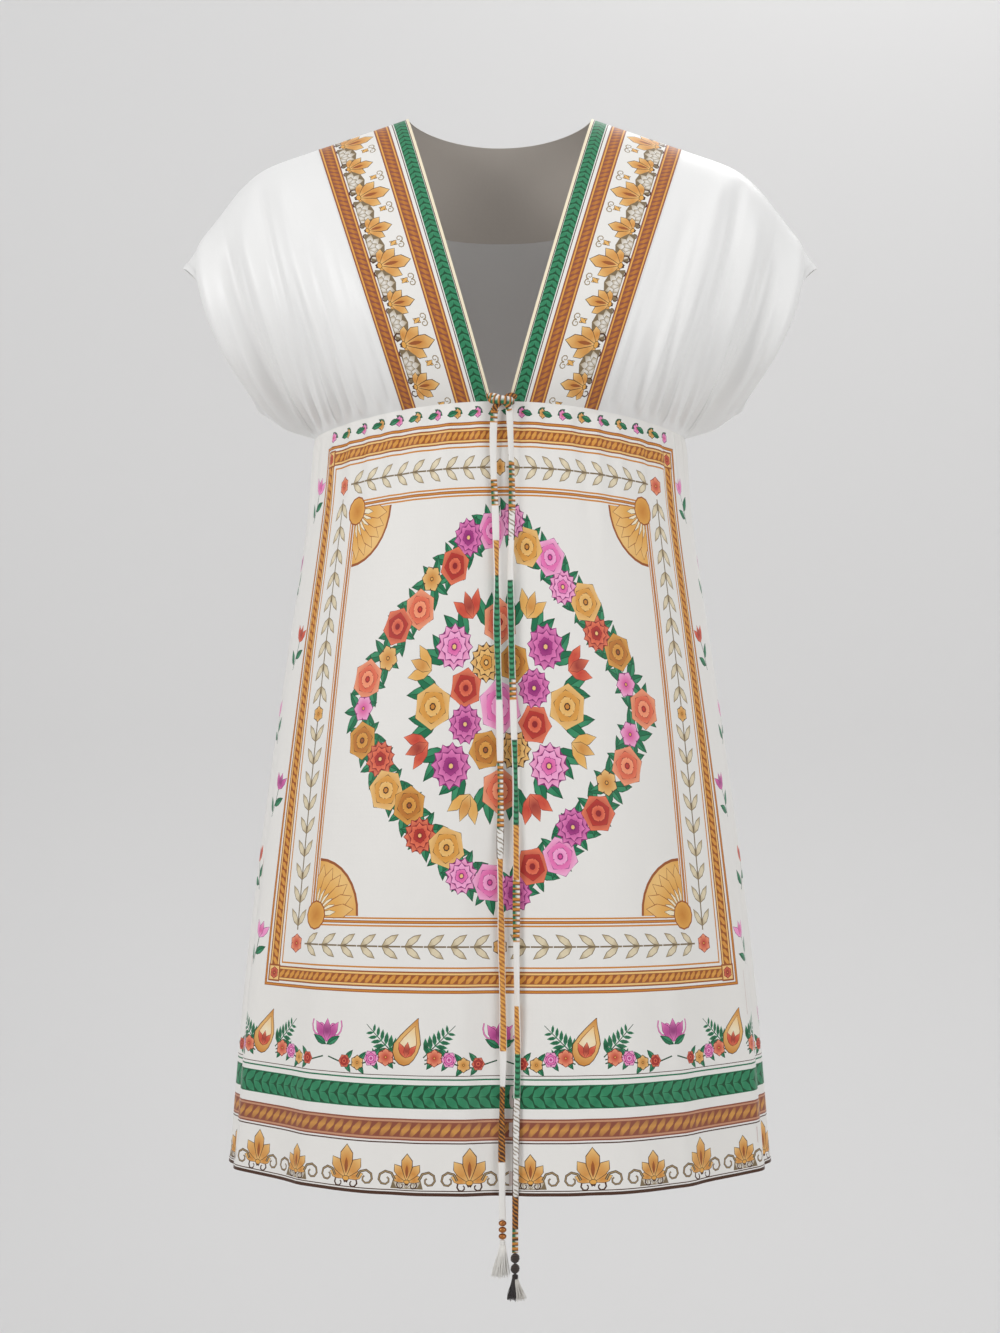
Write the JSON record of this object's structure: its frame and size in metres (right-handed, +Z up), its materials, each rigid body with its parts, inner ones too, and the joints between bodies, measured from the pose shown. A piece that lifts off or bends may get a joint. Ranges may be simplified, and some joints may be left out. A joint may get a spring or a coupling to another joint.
{
  "type": "caftan dress",
  "caption": "Short V-neck caftan dress with cap sleeves, gathered white bodice, printed A-line skirt and long tasselled ties, in its worn form.",
  "frame": {"origin": "midway between the neck ends of the two shoulder seams, where the wearer's shoulders carry the dress", "axes": "+Z up; -Y out of the front of the dress; +X to the right of someone who looks at the front"},
  "size_m": [0.5318, 0.2917, 0.9648],
  "materials": {
    "white_cloth": "satin",
    "printed_cloth": "satin",
    "tie_cloth": "satin",
    "bead": "satin",
    "pale_thread": "matte",
    "dark_thread": "matte"
  },
  "bodies": {
    "root": {"band_front_l": "printed_cloth", "band_front_r": "printed_cloth", "yoke_back": "printed_cloth", "skirt_front": "printed_cloth", "skirt_back": "printed_cloth", "bodice_front_l": "white_cloth", "bodice_front_r": "white_cloth", "bodice_back": "white_cloth", "tie_knot": "tie_cloth", "tie_l": "tie_cloth", "tie_r": "tie_cloth", "bead_l_1": "bead", "bead_l_2": "bead", "bead_l_3": "bead", "tassel_l": "pale_thread", "end_knot_r_1": "dark_thread", "end_knot_r_2": "dark_thread", "tassel_r": "dark_thread"}
  },
  "joints": []
}
